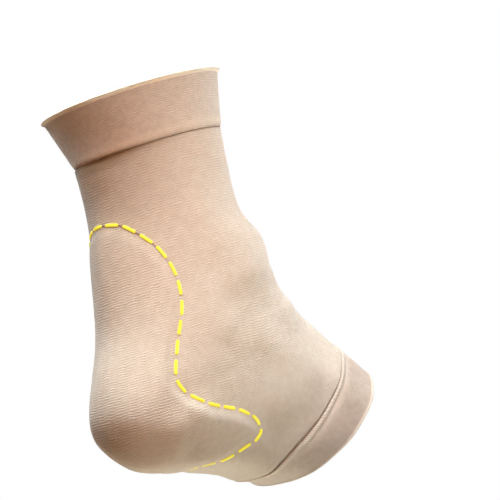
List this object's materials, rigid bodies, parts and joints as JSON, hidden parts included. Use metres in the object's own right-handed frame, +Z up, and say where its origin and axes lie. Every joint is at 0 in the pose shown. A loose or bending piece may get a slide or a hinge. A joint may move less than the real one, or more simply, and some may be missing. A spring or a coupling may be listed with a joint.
{
  "type": "achilles gel sleeve",
  "caption": "Knitted ankle sleeve in its worn form, open at the leg and midfoot, with a doubled cuff, a doubled foot band and a gel pad inside that covers the tendon and cups the heel.",
  "frame": {"origin": "the heel seat: the lowest point of the hollow, on the inner face of the gel pad, where the wearer's heel rests", "axes": "+X towards the toes, +Y to the outer side of a left foot, +Z up the leg; the sleeve is symmetric about the plane Y = 0"},
  "size_m": [0.1671, 0.0826, 0.1907],
  "materials": {
    "knit": "fine beige stretch knit, matt, with a faint fuzz",
    "welt": "doubled beige stretch knit, matt, a little denser and darker than the body",
    "gel": "soft milky gel, slightly glossy",
    "thread": "yellow marking thread"
  },
  "bodies": {
    "root": {"knit_body": "knit", "top_cuff": "welt", "foot_band": "welt", "gel_pad": "gel"}
  },
  "joints": []
}
